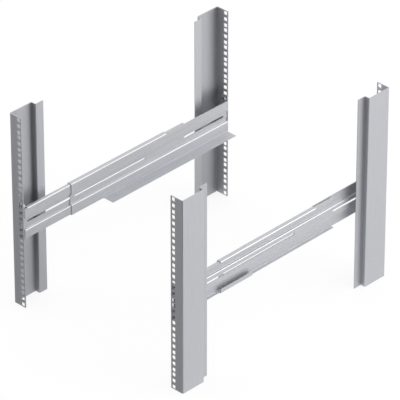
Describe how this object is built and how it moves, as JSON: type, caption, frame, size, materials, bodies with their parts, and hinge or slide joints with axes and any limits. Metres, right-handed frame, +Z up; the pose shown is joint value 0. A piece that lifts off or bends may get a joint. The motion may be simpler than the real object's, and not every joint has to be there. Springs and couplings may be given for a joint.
{
  "type": "pair of rack mounting rails",
  "caption": "Depth-adjustable 19-inch mounting rails: folded posts with square holes, joined front to back by telescopic side rails with slots and load ledges.",
  "frame": {"origin": "on the floor, in the middle of the footprint of the posts at the stored depth", "axes": "+X to the right seen from the front, +Y from front to back, +Z up along the posts"},
  "size_m": [0.52, 0.65, 0.489],
  "materials": {
    "post_sheet_steel": "zinc plated sheet steel, satin",
    "rail_sheet_steel": "zinc plated sheet steel, satin",
    "nut_steel": "plain weld nut, zinc plated"
  },
  "bodies": {
    "front_frame": {"left_front_post": "post_sheet_steel", "left_rail_front_member": "rail_sheet_steel", "left_front_lower_nuts": "nut_steel", "left_front_upper_nuts": "nut_steel", "right_front_post": "post_sheet_steel", "right_rail_front_member": "rail_sheet_steel", "right_front_lower_nuts": "nut_steel", "right_front_upper_nuts": "nut_steel"},
    "left_rear": {"left_rear_post": "post_sheet_steel", "left_rail_main_member": "rail_sheet_steel", "left_rear_lower_nuts": "nut_steel", "left_rear_upper_nuts": "nut_steel"},
    "right_rear": {"right_rear_post": "post_sheet_steel", "right_rail_main_member": "rail_sheet_steel", "right_rear_lower_nuts": "nut_steel", "right_rear_upper_nuts": "nut_steel"}
  },
  "joints": [
    {"name": "left_depth_slide", "type": "slide", "parent": "front_frame", "child": "left_rear", "axis": [0, 1, 0], "range_m": [-0.125, 0.2]},
    {"name": "right_depth_slide", "type": "slide", "parent": "front_frame", "child": "right_rear", "axis": [0, 1, 0], "range_m": [-0.125, 0.2]}
  ]
}
